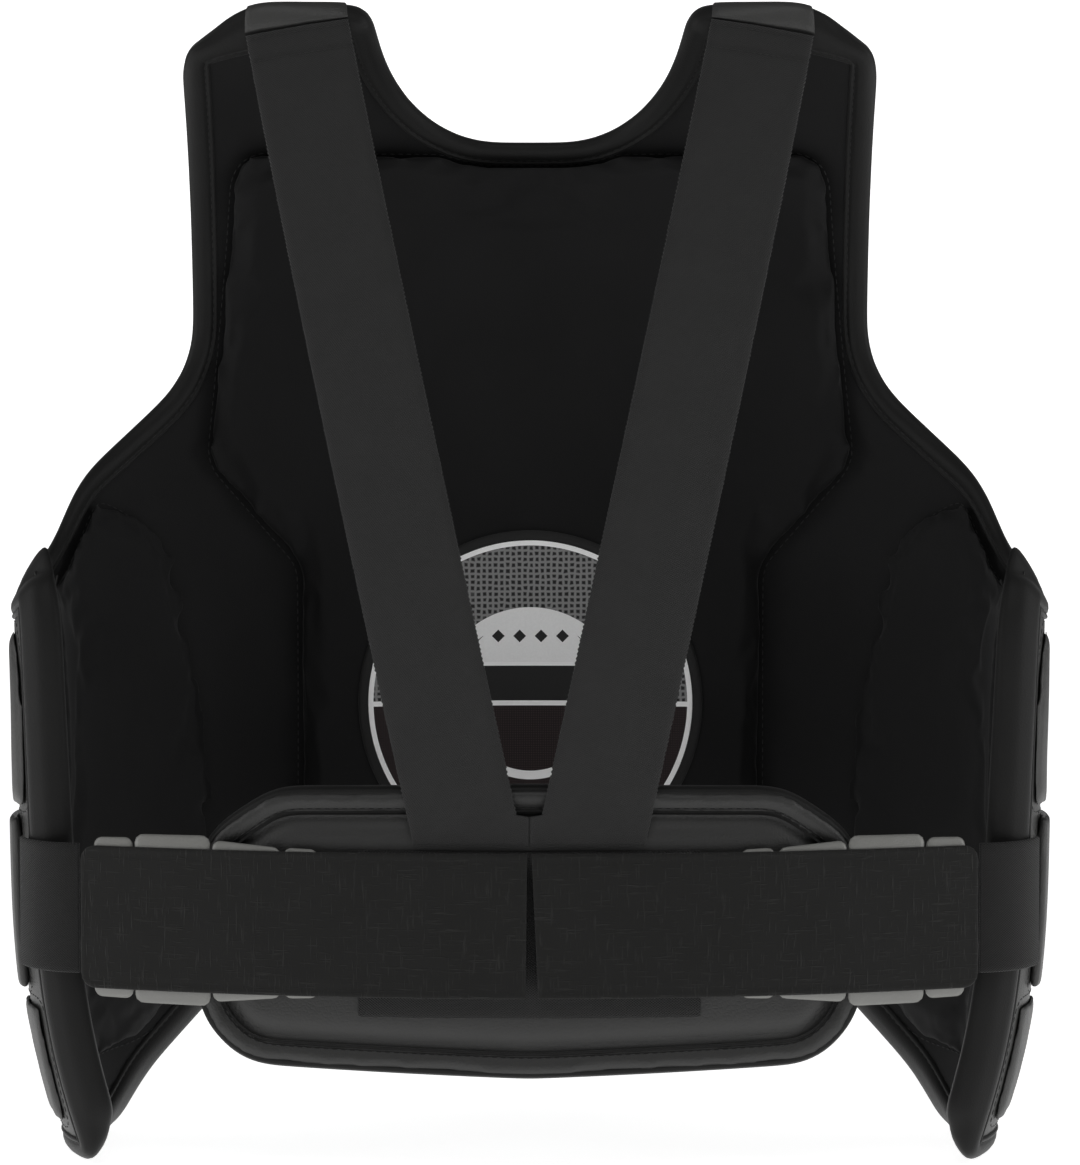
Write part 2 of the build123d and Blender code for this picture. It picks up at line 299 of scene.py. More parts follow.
def hook_finish():
    """Hook tape: a dense field of stiff little hooks in rows."""
    hook = Finish("hook tape")
    across, _, along = hook.axes(hook.place())
    rows = waves(across, 1.5 * MM) * waves(along, 1.2 * MM)
    return hook.finish(Base_Color=hook.mix(hook.ramp(rows, -0.4, 0.9), grey(0.004), grey(0.011)),
                       Roughness=0.55, Normal=hook.bump(rows, 0.9, 0.0006))


# %% [markdown]
# The round patch is printed cloth with a plain generic design: a pale ring in a dark
# border, a honeycomb band over a light field, a row of small lozenges, and a dark lower
# half with two pale arcs. Radii and bars are drawn with comparisons on the piece's own
# coordinates, which stay sharp at any distance, and the same masks raise the pale print
# slightly.

# %% Patch print
patch_centre = Vector((0, 0, 0.087))
patch_rim = 0.0838


def between(value, low, high):
    return (value > low) * (value < high)


def patch_finish():
    patch = Finish("patch print")
    place = patch.place(shift=-patch_centre)
    x, _, z = patch.axes(place)
    radius = (x * x + z * z).root()
    upper = z > 0.0
    cells = patch.cells(330, patch.place(scale=(1, 0, 1)), randomness=0.25)
    honeycomb = patch.ramp(cells, 0.12, 0.3)
    hatch = (((x + z) * 2600).sine() * ((x - z) * 2600).sine()).larger(0.0)
    band = patch.mix(honeycomb, grey(0.24), grey(0.014))
    field = patch.mix(patch.noise(900), grey(0.84), grey(0.95))
    lower = patch.mix(hatch, (0.014, 0.009, 0.0095, 1), (0.05, 0.034, 0.034, 1))
    colour = patch.mix(radius > 0.049, patch.mix(z < 0.019, field, grey(0.016)), band)
    colour = patch.mix(upper, lower, colour)
    lozenge_x = abs((x * 90.0).fraction() - 0.5)
    lozenge = (lozenge_x + abs(z - 0.034) * 90.0) < 0.3
    colour = patch.mix(lozenge * (radius < 0.042) * upper, colour, grey(0.02))
    arcs = (between(radius, 0.060, 0.0645) + between(radius, 0.036, 0.0405)) * (z < -0.006)
    bars = between(z, -0.0022, 0.0004) + between(z, 0.0185, 0.0205) * (radius < 0.049)
    ring = between(radius, 0.0812, patch_rim)
    pale = ((arcs + bars) * (radius < 0.0812) + ring).smaller(1.0)
    colour = patch.mix(pale, colour, grey(1.0))
    colour = patch.mix(radius > patch_rim, colour, grey(0.013))
    threads = (x * 5200).sine() * (z * 5200).sine()
    height = pale * 0.7 + threads * 0.15 + honeycomb * 0.3
    return patch.finish(Base_Color=colour, Roughness=0.7, Sheen_Weight=0.1,
                        Specular_IOR_Level=0.25, Normal=patch.bump(height, 0.5, 0.0004))


# %% [markdown]
# Each finish is made once and shared by the pieces that are cut from the same stuff. The
# levels are low because nearly everything is black: what tells the pieces apart is gloss
# and weave more than colour.

# %% All finishes
finishes = {
    "lining": lining_finish(),
    "shell": leather_finish("shell leather", 0.026, 0.46, 0.06),
    "lumbar": leather_finish("lumbar leather", 0.015, 0.48, 0.06, 520.0, 0.25),
    "segment": leather_finish("segment leather", 0.17, 0.34, 0.25, 700.0, 0.2, -0.06),
    "tape": tape_finish(),
    "strap_left": webbing_finish("left webbing", math.radians(-12.35)),
    "strap_right": webbing_finish("right webbing", math.radians(12.35)),
    "band": webbing_finish("band webbing", 0.0, 0.008),
    "linen": linen_finish(),
    "hook": hook_finish(),
    "patch": patch_finish(),
    "thread": Finish("sewing thread").finish(Base_Color=grey(0.012), Roughness=0.6),
}
print(len(finishes), "finishes")

# %% [markdown]
# ## Tools for soft pieces
#
# Soft pieces start from a copy of their CAD solid. A voxel remesh turns the loose triangles
# into an even skin, the skin is drawn back onto the solid to take out the voxel steps, and
# smoothing then rounds the edges. Beveling the solid's own edges would be exact but stiff:
# foam under cloth has no straight edge.

# %% Meshes
def new_piece(name, bm, finish, smooth=True):
    mesh = bpy.data.meshes.new(name)
    bm.to_mesh(mesh)
    bm.free()
    piece = bpy.data.objects.new(name, mesh)
    scene.collection.objects.link(piece)
    mesh.materials.append(finish)
    for face in mesh.polygons:
        face.use_smooth = smooth
    return piece


def cad_mesh(*nodes):
    bm = bmesh.new()
    for node in nodes:
        bm.from_mesh(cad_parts[node].data)
    bmesh.ops.remove_doubles(bm, verts=bm.verts, dist=1e-6)
    bm.normal_update()
    return bm


def cad_tree(*nodes):
    """A solid's surface, for nearest points and rays."""
    bm = cad_mesh(*nodes)
    tree = BVHTree.FromBMesh(bm)
    bm.free()
    return tree


def point_tree(points):
    """A tree that finds the nearest of some points."""
    tree = kdtree.KDTree(len(points))
    for index, point in enumerate(points):
        tree.insert(point, index)
    tree.balance()
    return tree


def apply(piece, kind, **settings):
    """Add one modifier and keep its result as the piece's own mesh."""
    modifier = piece.modifiers.new(kind.title(), kind)
    for key, value in settings.items():
        setattr(modifier, key, value)
    bpy.context.view_layer.update()
    graph = bpy.context.evaluated_depsgraph_get()
    made = bpy.data.meshes.new_from_object(piece.evaluated_get(graph))
    materials = list(piece.data.materials)
    piece.modifiers.clear()
    piece.data = made
    if not made.materials:
        for material in materials:
            made.materials.append(material)
    for face in made.polygons:
        face.use_smooth = True
    return piece


def soft_copy(name, nodes, finish, voxel, rounding=4, onto=None):
    """A remeshed copy of some CAD nodes, as one soft piece.

    Drawing the even skin back onto the solid takes out the voxel steps, and smoothing
    after that rounds the edges."""
    piece = new_piece(name, cad_mesh(*nodes), finish)
    apply(piece, "REMESH", mode="VOXEL", voxel_size=voxel, use_smooth_shade=True)
    apply(piece, "SMOOTH", factor=0.5, iterations=4)
    surfaces = onto or [cad_tree(*nodes)]

    def to_solid(point, normal):
        near = min((surface.find_nearest(point) for surface in surfaces), key=lambda hit: hit[3])
        return near[0] - point if near[3] < voxel else Vector()

    move_points(piece, to_solid)
    apply(piece, "SMOOTH", factor=0.5, iterations=rounding)
    return piece


def settle(piece, body, slot, *nodes, padded=None, bend=None):
    """Ride on a body and hide the CAD nodes that the piece stands for; `slot` is not used.

    With `bend`, the piece keeps its place and rides on no body; the two points are not read."""
    if bend:
        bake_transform(piece)
    else:
        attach(piece, body)
    if nodes:
        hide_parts(*nodes)
    return piece


def move_points(piece, rule):
    """Move every point of a mesh by rule(point, normal)."""
    mesh = piece.data
    moves = [rule(v.co, v.normal) for v in mesh.vertices]
    for vertex, move in zip(mesh.vertices, moves):
        vertex.co += move
    mesh.update()


def ripple(piece, height, scale, seed=0):
    """Small uneven swells along the normals, as hand-sewn foam has."""
    shift = Vector((seed * 3.1, seed * 1.7, seed * 2.3))
    move_points(piece, lambda p, n: n * height * noise.noise(p * scale + shift))


# %% [markdown]
# A pad is leather sewn down over foam. It is inflated: its skin becomes cloth under a
# little inner pressure, without gravity. Points that lie on the wall are held, no point
# travels further than `cap`, and what would swell out of the pad's own space is drawn back
# into it. Displacing a smooth pillow is quicker, but only cloth gives folds that start at
# the seam.

# %% Inflated pads
held_within = 3.2 * MM
skin_over = 0.6 * MM


def puff(piece, nodes, backing, cap, pressure=4.0, frames=20):
    if cap:
        mesh = piece.data
        start = [v.co.copy() for v in mesh.vertices]
        held = piece.vertex_groups.new(name="held")
        sewn = [v.index for v in mesh.vertices
                if backing.find_nearest(v.co)[3] < held_within]
        held.add(sewn, 1.0, "ADD")
        cloth = piece.modifiers.new("Cloth", "CLOTH")
        cloth.settings.quality = 5
        cloth.settings.mass = 0.3
        cloth.settings.use_pressure = True
        cloth.settings.uniform_pressure_force = pressure
        cloth.settings.shrink_min = -0.02
        cloth.settings.effector_weights.gravity = 0.0
        cloth.settings.vertex_group_mass = "held"
        cloth.point_cache.frame_start = 1
        cloth.point_cache.frame_end = frames
        for moment in range(1, frames + 1):
            scene.frame_set(moment)
        graph = bpy.context.evaluated_depsgraph_get()
        swollen = [v.co.copy() for v in piece.evaluated_get(graph).data.vertices]
        piece.modifiers.clear()
        piece.vertex_groups.clear()
        scene.frame_set(1)
        for vertex, before, after in zip(mesh.vertices, start, swollen):
            move = after - before
            vertex.co = before + move * min(1.0, cap / max(move.length, 1e-9))
        mesh.update()
    apply(piece, "SUBSURF", levels=1, render_levels=1)
    solid = cad_tree(*nodes)

    def into_space(point, normal):
        near, outward = solid.find_nearest(point)[:2]
        over = (point - near).dot(outward)
        return outward * (skin_over - over) if over > skin_over else Vector()

    move_points(piece, into_space)
    return piece


# %% [markdown]
# ## Lines read off the solids
#
# Faces that meet at a small angle belong to one side of a sheet, and the edge of such a
# side is the sheet's rim. From it come the frames that a tape or a seam needs at each step:
# a point, the way out of the surface, and the way in from the edge. A curve drawn by hand
# would do for one shape, but this one follows the solids when they change.

# %% Rims
def sheet_side(bm, rank, crease=math.radians(25)):
    """The faces of a sheet's largest side (rank 0) or its second largest (rank 1)."""
    seen = set()
    sides = []
    for first in bm.faces:
        if first in seen:
            continue
        seen.add(first)
        waiting, side = [first], []
        while waiting:
            face = waiting.pop()
            side.append(face)
            for edge in face.edges:
                if len(edge.link_faces) == 2 and edge.calc_face_angle(math.pi) < crease:
                    for other in edge.link_faces:
                        if other not in seen:
                            seen.add(other)
                            waiting.append(other)
        sides.append(side)
    sides.sort(key=lambda side: -sum(face.calc_area() for face in side))
    return sides[rank]


def longest_loop(edges):
    """Chain edges into loops and give the points of the longest one, in order."""
    links = defaultdict(list)
    for edge in edges:
        first, second = edge.verts
        links[first].append(second)
        links[second].append(first)
    best, free = [], dict.fromkeys(links)
    while free:
        here = next(iter(free))
        loop = []
        while here is not None:
            free.pop(here)
            loop.append(here.co.copy())
            here = next((other for other in links[here] if other in free), None)
        if len(loop) > len(best):
            best = loop
    return best


def even_steps(points, step):
    """The same closed line with its points at even distances."""
    closed = points + [points[0]]
    lengths = [0.0]
    for first, second in zip(closed, closed[1:]):
        lengths.append(lengths[-1] + (second - first).length)
    count = max(8, round(lengths[-1] / step))
    stepped, place = [], 0
    for index in range(count):
        target = lengths[-1] * index / count
        while lengths[place + 1] < target:
            place += 1
        span = lengths[place + 1] - lengths[place]
        share = (target - lengths[place]) / max(span, 1e-12)
        stepped.append(closed[place].lerp(closed[place + 1], share))
    return stepped


def soften(values, rounds):
    """Average each vector of a closed list with its neighbours."""
    for _ in range(rounds):
        values = [(values[i - 1] + 2 * values[i] + values[(i + 1) % len(values)]) / 4
                  for i in range(len(values))]
    return values


class Rim:
    """The edge of one side of a sheet, with the side's own surface."""

    def __init__(self, nodes, rank, step=3 * MM, rounds=6):
        bm = cad_mesh(*nodes)
        side = dict.fromkeys(sheet_side(bm, rank))
        edges = [e for e in bm.edges if sum(face in side for face in e.link_faces) == 1]
        points = soften(even_steps(longest_loop(edges), step), rounds)
        corners = dict.fromkeys(v for face in side for v in face.verts)
        corners = {v: index for index, v in enumerate(corners)}
        self.surface = BVHTree.FromPolygons([v.co.copy() for v in corners],
                                            [[corners[v] for v in face.verts] for face in side])
        bm.free()
        self.points = points
        self.out = soften([self.surface.find_nearest(p)[1] for p in points], 4)
        self.out = [way.normalized() for way in self.out]
        self.along = [(points[(i + 1) % len(points)] - points[i - 1]).normalized()
                      for i in range(len(points))]
        self.inward = self._inward()

    def _inward(self):
        ways = [out.cross(along).normalized() for out, along in zip(self.out, self.along)]
        votes = 0
        for point, way in zip(self.points, ways):
            there = self.surface.find_nearest(point + way * 6 * MM)[3]
            back = self.surface.find_nearest(point - way * 6 * MM)[3]
            votes += 1 if there < back else -1
        ways = [way * (1 if votes > 0 else -1) for way in ways]
        return [way.normalized() for way in soften(ways, 6)]

    def at(self, index, inset, height=0.0):
        """A point on the side, `inset` from the rim and `height` above the surface."""
        point = self.points[index] + self.inward[index] * inset
        if inset > 1.5 * MM:
            point = self.surface.find_nearest(point)[0]
        return point + self.out[index] * height


# %% [markdown]
# A tape is folded over the edge and sewn through. It is swept along two rims at once. Its
# section runs from the outer flank, round the nose, to the inner flank, with a small ridge
# and a groove near each edge where the stitches pull it down. A curve with a bevel profile
# can't do this, because the wall's thickness and slant change along the edge.

# %% Rolled tape
def matched(outer, inner):
    """Pairs of steps, one on each rim, that face each other; no step is left out."""
    tree = point_tree(inner.points)
    partners = [tree.find(point)[1] for point in outer.points]
    count = len(inner.points)
    pairs = []
    for index, partner in enumerate(partners):
        pairs.append((index, partner))
        following = (index + 1) % len(partners)
        jump = (partners[following] - partner + count // 2) % count - count // 2
        for skipped in range(1, abs(jump)):
            nearer = index if 2 * skipped < abs(jump) else following
            pairs.append((nearer, (partner + (skipped if jump > 0 else -skipped)) % count))
    return pairs


def tape_rings(outer, inner, width, puffed, nose):
    flank = [(width, -0.8 * MM), (0.95 * width, 0.55 * puffed), (0.88 * width, 0.9 * puffed),
             (0.80 * width, 0.75 * puffed), (0.74 * width, 0.25 * puffed),
             (0.68 * width, 0.8 * puffed), (0.5 * width, 1.1 * puffed), (0.3 * width, puffed),
             (0.12 * width, 0.55 * puffed)]
    bow = [(0.92, 0.15), (0.78, 0.5), (0.55, 0.82), (0.28, 0.97), (0.0, 1.0), (-0.28, 0.97),
           (-0.55, 0.82), (-0.78, 0.5), (-0.92, 0.15)]
    rings = []
    for index, partner in matched(outer, inner):
        first, second = outer.points[index], inner.points[partner]
        middle = (first + second) / 2
        across = (first - second) / 2
        back = -(outer.inward[index] + inner.inward[partner]).normalized()
        ring = [outer.at(index, inset, height) for inset, height in flank]
        ring += [middle + across * side + back * (nose * reach) for side, reach in bow]
        ring += [inner.at(partner, inset, height) for inset, height in reversed(flank)]
        rings.append(ring)
    count = len(rings)
    for place in range(len(rings[0])):
        column = soften([rings[index][place] for index in range(count)], 3)
        for index in range(count):
            rings[index][place] = column[index]
    return rings


def sew_tape(name, rings, outer, inner, body):
    """Stitches in the groove of each flank, which is the fifth point from either end."""
    bm = bmesh.new()
    for place, rim in ((4, outer), (-5, inner)):
        line = [ring[place] for ring in rings]
        outs = [rim.surface.find_nearest(point)[1] for point in line]
        add_stitches(bm, [point + out * 0.2 * MM for point, out in zip(line, outs)], outs)
    settle(new_piece(name, bm, finishes["thread"]), body, "binding_tape")


def laid_grid(across, along, place):
    """An operator's flat grid, with each of its points laid by place(column, row)."""
    bm = bmesh.new()
    bmesh.ops.create_grid(bm, x_segments=across, y_segments=along, size=1.0)
    for vertex in bm.verts:
        column = round((vertex.co.x + 1) / 2 * across)
        row = round((vertex.co.y + 1) / 2 * along)
        vertex.co = place(column, row)
    return bm


def skin(rings, closed=True):
    """A grid laid along rings of points; a closed one is welded where it ends."""
    count = len(rings)
    bm = laid_grid(len(rings[0]) - 1, count if closed else count - 1,
                   lambda column, row: rings[row % count][column])
    bmesh.ops.remove_doubles(bm, verts=bm.verts, dist=1e-7)
    return bm


def merged(parts):
    """Several bmeshes as one."""
    whole = bmesh.new()
    for part in parts:
        mesh = bpy.data.meshes.new("part")
        part.to_mesh(mesh)
        part.free()
        whole.from_mesh(mesh)
        bpy.data.meshes.remove(mesh)
    return whole


def runs(rings, name_of):
    """Split a closed list of rings into named runs; each run shares its last ring."""
    names = [name_of(ring[len(ring) // 2]) for ring in rings]
    start = next(i for i in range(len(names)) if names[i] != names[i - 1])
    order = [(start + i) % len(names) for i in range(len(names) + 1)]
    found, current = [], [order[0]]
    for before, index in zip(order, order[1:]):
        current.append(index)
        if names[index] != names[before]:
            found.append((names[before], current))
            current = [index]
    return found


# %% [markdown]
# Stitches are small capsules laid along a line, every few millimetres, with a gap between
# them where the thread dives into the cloth. There are thousands, so one stitch is a sphere
# of a few dozen faces, stretched and copied. A dashed texture would be lighter, but it
# can't catch the light along the seam.

# %% Stitches
stitch = bmesh.new()
bmesh.ops.create_uvsphere(stitch, u_segments=6, v_segments=4, radius=1.0)


def add_stitches(bm, line, outs, pitch=4.2 * MM, length=2.9 * MM, radius=0.3 * MM):
    """Copies of one stitch along a line, every `pitch`, lying on the way the cloth faces."""
    ahead = 0.0
    for first, second, out in zip(line, line[1:], outs):
        span = (second - first).length
        along = (second - first).normalized()
        side = along.cross(out).normalized()
        shape = Matrix((side * radius, out * radius * 0.8, along * length / 2)).transposed()
        while ahead < span:
            here = first + along * ahead
            made = {v: bm.verts.new(here + shape @ v.co) for v in stitch.verts}
            for face in stitch.faces:
                bm.faces.new([made[v] for v in face.verts])
            ahead += pitch
        ahead -= span


# %% [markdown]
# ## The shell
#
# The wall of the shell is cover, foam and lining together. It is remeshed as one padded
# slab and then parted into its outer leather and its inner cloth: each face goes to the
# side that it lies nearer to. The two share their cut edge exactly, which separate skins
# wouldn't, and that edge is sunk a little, so that the tape covers it.

# %% Shell wall
wall_nodes = ["outer_cover", "foam_front", "foam_side_left", "foam_side_right", "inner_lining"]
cover_rim = Rim(["outer_cover"], 0)
lining_rim = Rim(["inner_lining"], 1)
wall_voxel, wall_rounds = 3.2 * MM, 2
wall = soft_copy("wall", wall_nodes, finishes["shell"], wall_voxel, wall_rounds,
                 [cover_rim.surface, lining_rim.surface])
ripple(wall, 0.5 * MM, 16, 1)
tape_width = 11 * MM
wall_short, wall_sink = 4.5 * MM, 1.3 * MM
rim_tree = point_tree(cover_rim.points + lining_rim.points)
rim_inward = cover_rim.inward + lining_rim.inward


def under_tape(point, normal):
    """Sink the wall's edge below the tape that will wrap it."""
    place, index, distance = rim_tree.find(point)
    if distance > tape_width:
        return Vector()
    inward = rim_inward[index]
    short = max(0.0, wall_short - (point - place).dot(inward))
    sink = min(1.0, (tape_width - distance) / (2.5 * MM)) * wall_sink
    return inward * short - normal * sink


move_points(wall, under_tape)


def nearer_cover(face):
    centre = face.calc_center_median()
    return cover_rim.surface.find_nearest(centre)[3] < lining_rim.surface.find_nearest(centre)[3]


for name, outward, finish, slot, nodes in (
    ("shell_cover", True, "shell", "shell_leather", ["outer_cover"]),
    ("shell_lining", False, "lining", "lining_cloth", wall_nodes[1:]),
):
    bm = bmesh.new()
    bm.from_mesh(wall.data)
    others = [face for face in bm.faces if nearer_cover(face) != outward]
    bmesh.ops.delete(bm, geom=others, context="FACES")
    settle(new_piece(name, bm, finishes[finish]), "shell", slot, *nodes, padded=0.5)
bpy.data.objects.remove(wall)
print(len(cover_rim.points), "steps round the rim of the cover")

# %% [markdown]
# One continuous tape binds neck, shoulders, armholes, flanks and hem. The rings are made in
# one go, so that the tape runs on without a step, and are then handed out to the six bound
# edges by where each ring lies. Neighbours share their ring, so that no gap opens.

# %% Edge tape of the shell
tape_puff, tape_nose = 1.5 * MM, 3.7 * MM
rear_tape_top = 120 * MM
neck_half, neck_floor = 112 * MM, 330 * MM
hem_half = 150 * MM
rings = tape_rings(cover_rim, lining_rim, tape_width, tape_puff, tape_nose)


def tape_name(point):
    side = "right" if point.x > 0 else "left"
    if abs(point.x) < neck_half and point.z > neck_floor:
        return "neck_binding"
    if abs(point.x) < hem_half and point.z < rear_tape_top:
        return "hem_binding"
    return f"armhole_binding_{side}" if point.z >= rear_tape_top else f"rear_binding_{side}"


tape_parts = defaultdict(list)
for name, indices in runs(rings, tape_name):
    tape_parts[name].append(skin([rings[index] for index in indices], closed=False))
for name, parts in sorted(tape_parts.items()):
    part = merged(parts)
    bmesh.ops.recalc_face_normals(part, faces=part.faces)
    settle(new_piece("tape_" + name, part, finishes["tape"]), "shell", "binding_tape", name)

sew_tape("tape_stitches", rings, cover_rim, lining_rim, "shell")
print("tape parts:", sorted(tape_parts))

# %% [markdown]
# Panels outside guard chest, belly and flanks, and pads inside keep the shell off the ribs.
# Each starts as its solid. All but the flat waist panels are then lowered towards their
# sewn edge, so that they are full only in the middle, and inflated. A row of stitches
# follows each pad's foot on the wall.

# %% Raised pads
shell_surface = cad_tree("outer_cover")
lining_surface = cad_tree("inner_lining")
pad_plan = [
    # name, finish, voxel (mm), smoothing rounds, cap (mm)
    ("chest_panel", "shell", 4.5, 5, 5),
    ("belly_panel", "shell", 4.5, 5, 5),
    ("side_panel_left", "shell", 3.5, 4, 1.5),
    ("side_panel_right", "shell", 3.5, 4, 1.5),
    ("hip_panel_left", "shell", 3.5, 4, 1.5),
    ("hip_panel_right", "shell", 3.5, 4, 1.5),
    ("waist_panel_left", "shell", 2.2, 3, 0),
    ("waist_panel_right", "shell", 2.2, 3, 0),
    ("shoulder_panel_left", "shell", 3.0, 4, 2),
    ("shoulder_panel_right", "shell", 3.0, 4, 2),
    ("inner_chest_pad", "lining", 4.5, 5, 5),
    ("inner_side_pad_left", "lining", 3.5, 5, 3),
    ("inner_side_pad_right", "lining", 3.5, 5, 3),
]


def crowned(pad, backing, reach):
    """Lower the skin towards the sewn edge, so that a pad is full only in its middle."""
    heights = {}

    def note(point, normal):
        heights[tuple(point)] = backing.find_nearest(point)[3]
        return Vector()

    move_points(pad, note)
    edge = point_tree([Vector(key) for key, height in heights.items()
                       if 0.8 * MM < height < 2.6 * MM])

    def lower(point, normal):
        near, _, _, height = backing.find_nearest(point)
        part = min(1.0, edge.find(point)[2] / reach)
        keep = math.sin(part * math.pi / 2) ** 0.8
        drop = max(0.0, height - skin_over) * (1 - keep)
        return (near - point).normalized() * drop

    move_points(pad, lower)


def sewn_line(node, skin_surface, beside=2.4 * MM):
    """The line beside a pad's foot on the shell, with the shell's own normals."""
    sides = [Rim([node], rank, rounds=3) for rank in (0, 1)]
    foot = min(sides, key=lambda side: sum(skin_surface.find_nearest(p)[3] for p in side.points))
    hits = [skin_surface.find_nearest(point - inward * beside)
            for point, inward in zip(foot.points, foot.inward)]
    hits.append(hits[0])
    return [hit[0] + hit[1] * 0.1 * MM for hit in hits], [hit[1] for hit in hits]


def piece_surface(*names):
    bm = bmesh.new()
    for name in names:
        bm.from_mesh(bpy.data.objects[name].data)
    surface = BVHTree.FromBMesh(bm)
    bm.free()
    return surface


pad_sink = 0.8 * MM
cover_reach, lining_reach = 26 * MM, 20 * MM
cover_skin = piece_surface("shell_cover")
lining_skin = piece_surface("shell_lining")
seams = bmesh.new()
for seed, (node, finish, voxel, rounds, cap) in enumerate(pad_plan):
    outside = finish == "shell"
    pad = soft_copy("pad_" + node, [node], finishes[finish], voxel * MM, rounds)
    backing = shell_surface if outside else lining_surface
    if cap:
        move_points(pad, lambda p, n: n * -pad_sink)
        crowned(pad, backing, cover_reach if outside else lining_reach)
    puff(pad, [node], backing, cap * MM)
    if cap:
        ripple(pad, 0.5 * MM, 24, seed)
    slot = "shell_leather" if outside else "lining_cloth"
    settle(pad, "shell", slot, node, padded=0.7)
    add_stitches(seams, *sewn_line(node, cover_skin if outside else lining_skin))
settle(new_piece("pad_stitches", seams, finishes["thread"]), "shell", "binding_tape")
print(len(pad_plan), "raised pads")

# %% [markdown]
# The patch is a sewn disc with a raised border. A section with the border's two ridges is
# spun about the patch's axis, so that rings of faces lie only where the border needs them,
# and every point is then laid on the solid patch, which follows the curved chest pad.

# %% Round patch
forward = Vector((0, 1, 0))
patch_face = cad_tree("round_patch")


def on_pad(x, height, z):
    """A point of the patch: `height` off the solid patch that lies on the chest pad."""
    ray_x, ray_z = x * patch_reach, patch_centre.z + z * patch_reach
    hit = patch_face.ray_cast(Vector((ray_x, patch_look_y, ray_z)), forward)[0]
    return Vector((x, hit.y - height, patch_centre.z + z))


patch_reach = 0.985
patch_look_y = -80 * MM
patch_steps = 160
patch_section = [(0.0, 0.3), (10, 0.3), (30, 0.3), (50, 0.3), (70, 0.3), (80.5, 0.3),
                 (81.2, 0.75), (82.5, 0.9), (83.8, 0.7), (84.5, 0.35), (85.5, 0.9),
                 (87.2, 1.1), (88.6, 0.6), (89.0, -0.4), (89.0, -1.2)]
bm = bmesh.new()
line = [bm.verts.new((radius * MM, height * MM, 0)) for radius, height in patch_section]
edges = [bm.edges.new(pair) for pair in zip(line, line[1:])]
bmesh.ops.spin(bm, geom=line + edges, cent=(0, 0, 0), axis=(0, 1, 0), angle=2 * math.pi,
               steps=patch_steps, use_merge=True)
bmesh.ops.remove_doubles(bm, verts=bm.verts, dist=1e-6)
for vertex in bm.verts:
    vertex.co = on_pad(*vertex.co)
bmesh.ops.recalc_face_normals(bm, faces=bm.faces)
patch = new_piece("patch", bm, finishes["patch"])
settle(patch, "shell", "patch_print", "round_patch")
print("patch:", len(patch.data.polygons), "faces")

# %% [markdown]
# ## Back harness
#
# The lumbar rest is a cushion bound in the same kind of tape as the shell, but rolled
# tighter, and its leather dips before it meets the tape. The dip is a smooth function of
# the distance to the edge. It could be sculpted, but a function stays even all the way
# round.

# %% Lumbar rest
lumbar_voxel, lumbar_rounds = 2.6 * MM, 8
dip_depth, dip_inset, dip_width = 3.2 * MM, 12 * MM, 5 * MM
roll_puff, roll_nose = 1.4 * MM, 2.2 * MM
lumbar_outer = Rim(["lumbar_cover"], 0, rounds=3)
lumbar_inner = Rim(["lumbar_lining"], 1, rounds=3)
lumbar = soft_copy("lumbar_rest", ["lumbar_lining", "lumbar_foam", "lumbar_cover"],
                   finishes["lumbar"], lumbar_voxel, lumbar_rounds)
edge_tree = point_tree(lumbar_outer.points)


def crown(point, normal):
    """Full in the middle, and drawn in towards the sewn edge."""
    inset = edge_tree.find(point)[2]
    dip = dip_depth * math.exp(-((inset - dip_inset) / dip_width) ** 2)
    return -normal * dip


move_points(lumbar, crown)
settle(lumbar, "back_harness", "lumbar_leather", "lumbar_lining", "lumbar_foam", "lumbar_cover",
       padded=0.8)
roll_rings = tape_rings(lumbar_outer, lumbar_inner, tape_width, roll_puff, roll_nose)
roll = skin(roll_rings)
bmesh.ops.recalc_face_normals(roll, faces=roll.faces)
settle(new_piece("lumbar_roll", roll, finishes["tape"]), "back_harness", "binding_tape",
       "lumbar_binding")
sew_tape("lumbar_stitches", roll_rings, lumbar_outer, lumbar_inner, "back_harness")
print(len(roll_rings), "rings round the lumbar rest")

# %% [markdown]
# Flat straps are modelled directly, because a voxel fine enough for their edges would make
# millions of faces. Rays from behind find the solid's face, a flat grid is laid on the
# points they hit, and its faces are extruded to the sheet's thickness. The outermost lines
# are drawn in, which rounds the edge.

# %% Thin sheets
def thin_sheet(points, ways, thickness, drawn_in=0.35):
    """A closed sheet behind rows of points; its outermost lines are drawn in to round it."""
    last_row, last_column = len(points) - 1, len(points[0]) - 1
    steps = []

    def place(column, row):
        rim = row in (0, last_row) or column in (0, last_column)
        drawn = thickness * (drawn_in if rim else 0.0)
        way = ways[row][column]
        steps.append(way * (2 * drawn - thickness))
        return points[row][column] - way * drawn

    bm = laid_grid(last_column, last_row, place)
    behind = bm.verts.layers.float_vector.new("behind")
    for vertex, step in zip(bm.verts, steps):
        vertex[behind] = step
    extruded = bmesh.ops.extrude_face_region(bm, geom=bm.faces[:], use_keep_orig=True)
    for item in extruded["geom"]:
        if isinstance(item, bmesh.types.BMVert):
            item.co += item[behind]
    bm.verts.layers.float_vector.remove(behind)
    bmesh.ops.recalc_face_normals(bm, faces=bm.faces)
    return bm


def spread(count, edge):
    """Even steps from -1 to 1, with one extra step close to each end."""
    inner = [-1 + edge + (2 - 2 * edge) * i / (count - 1) for i in range(count)]
    return [-1.0] + inner + [1.0]
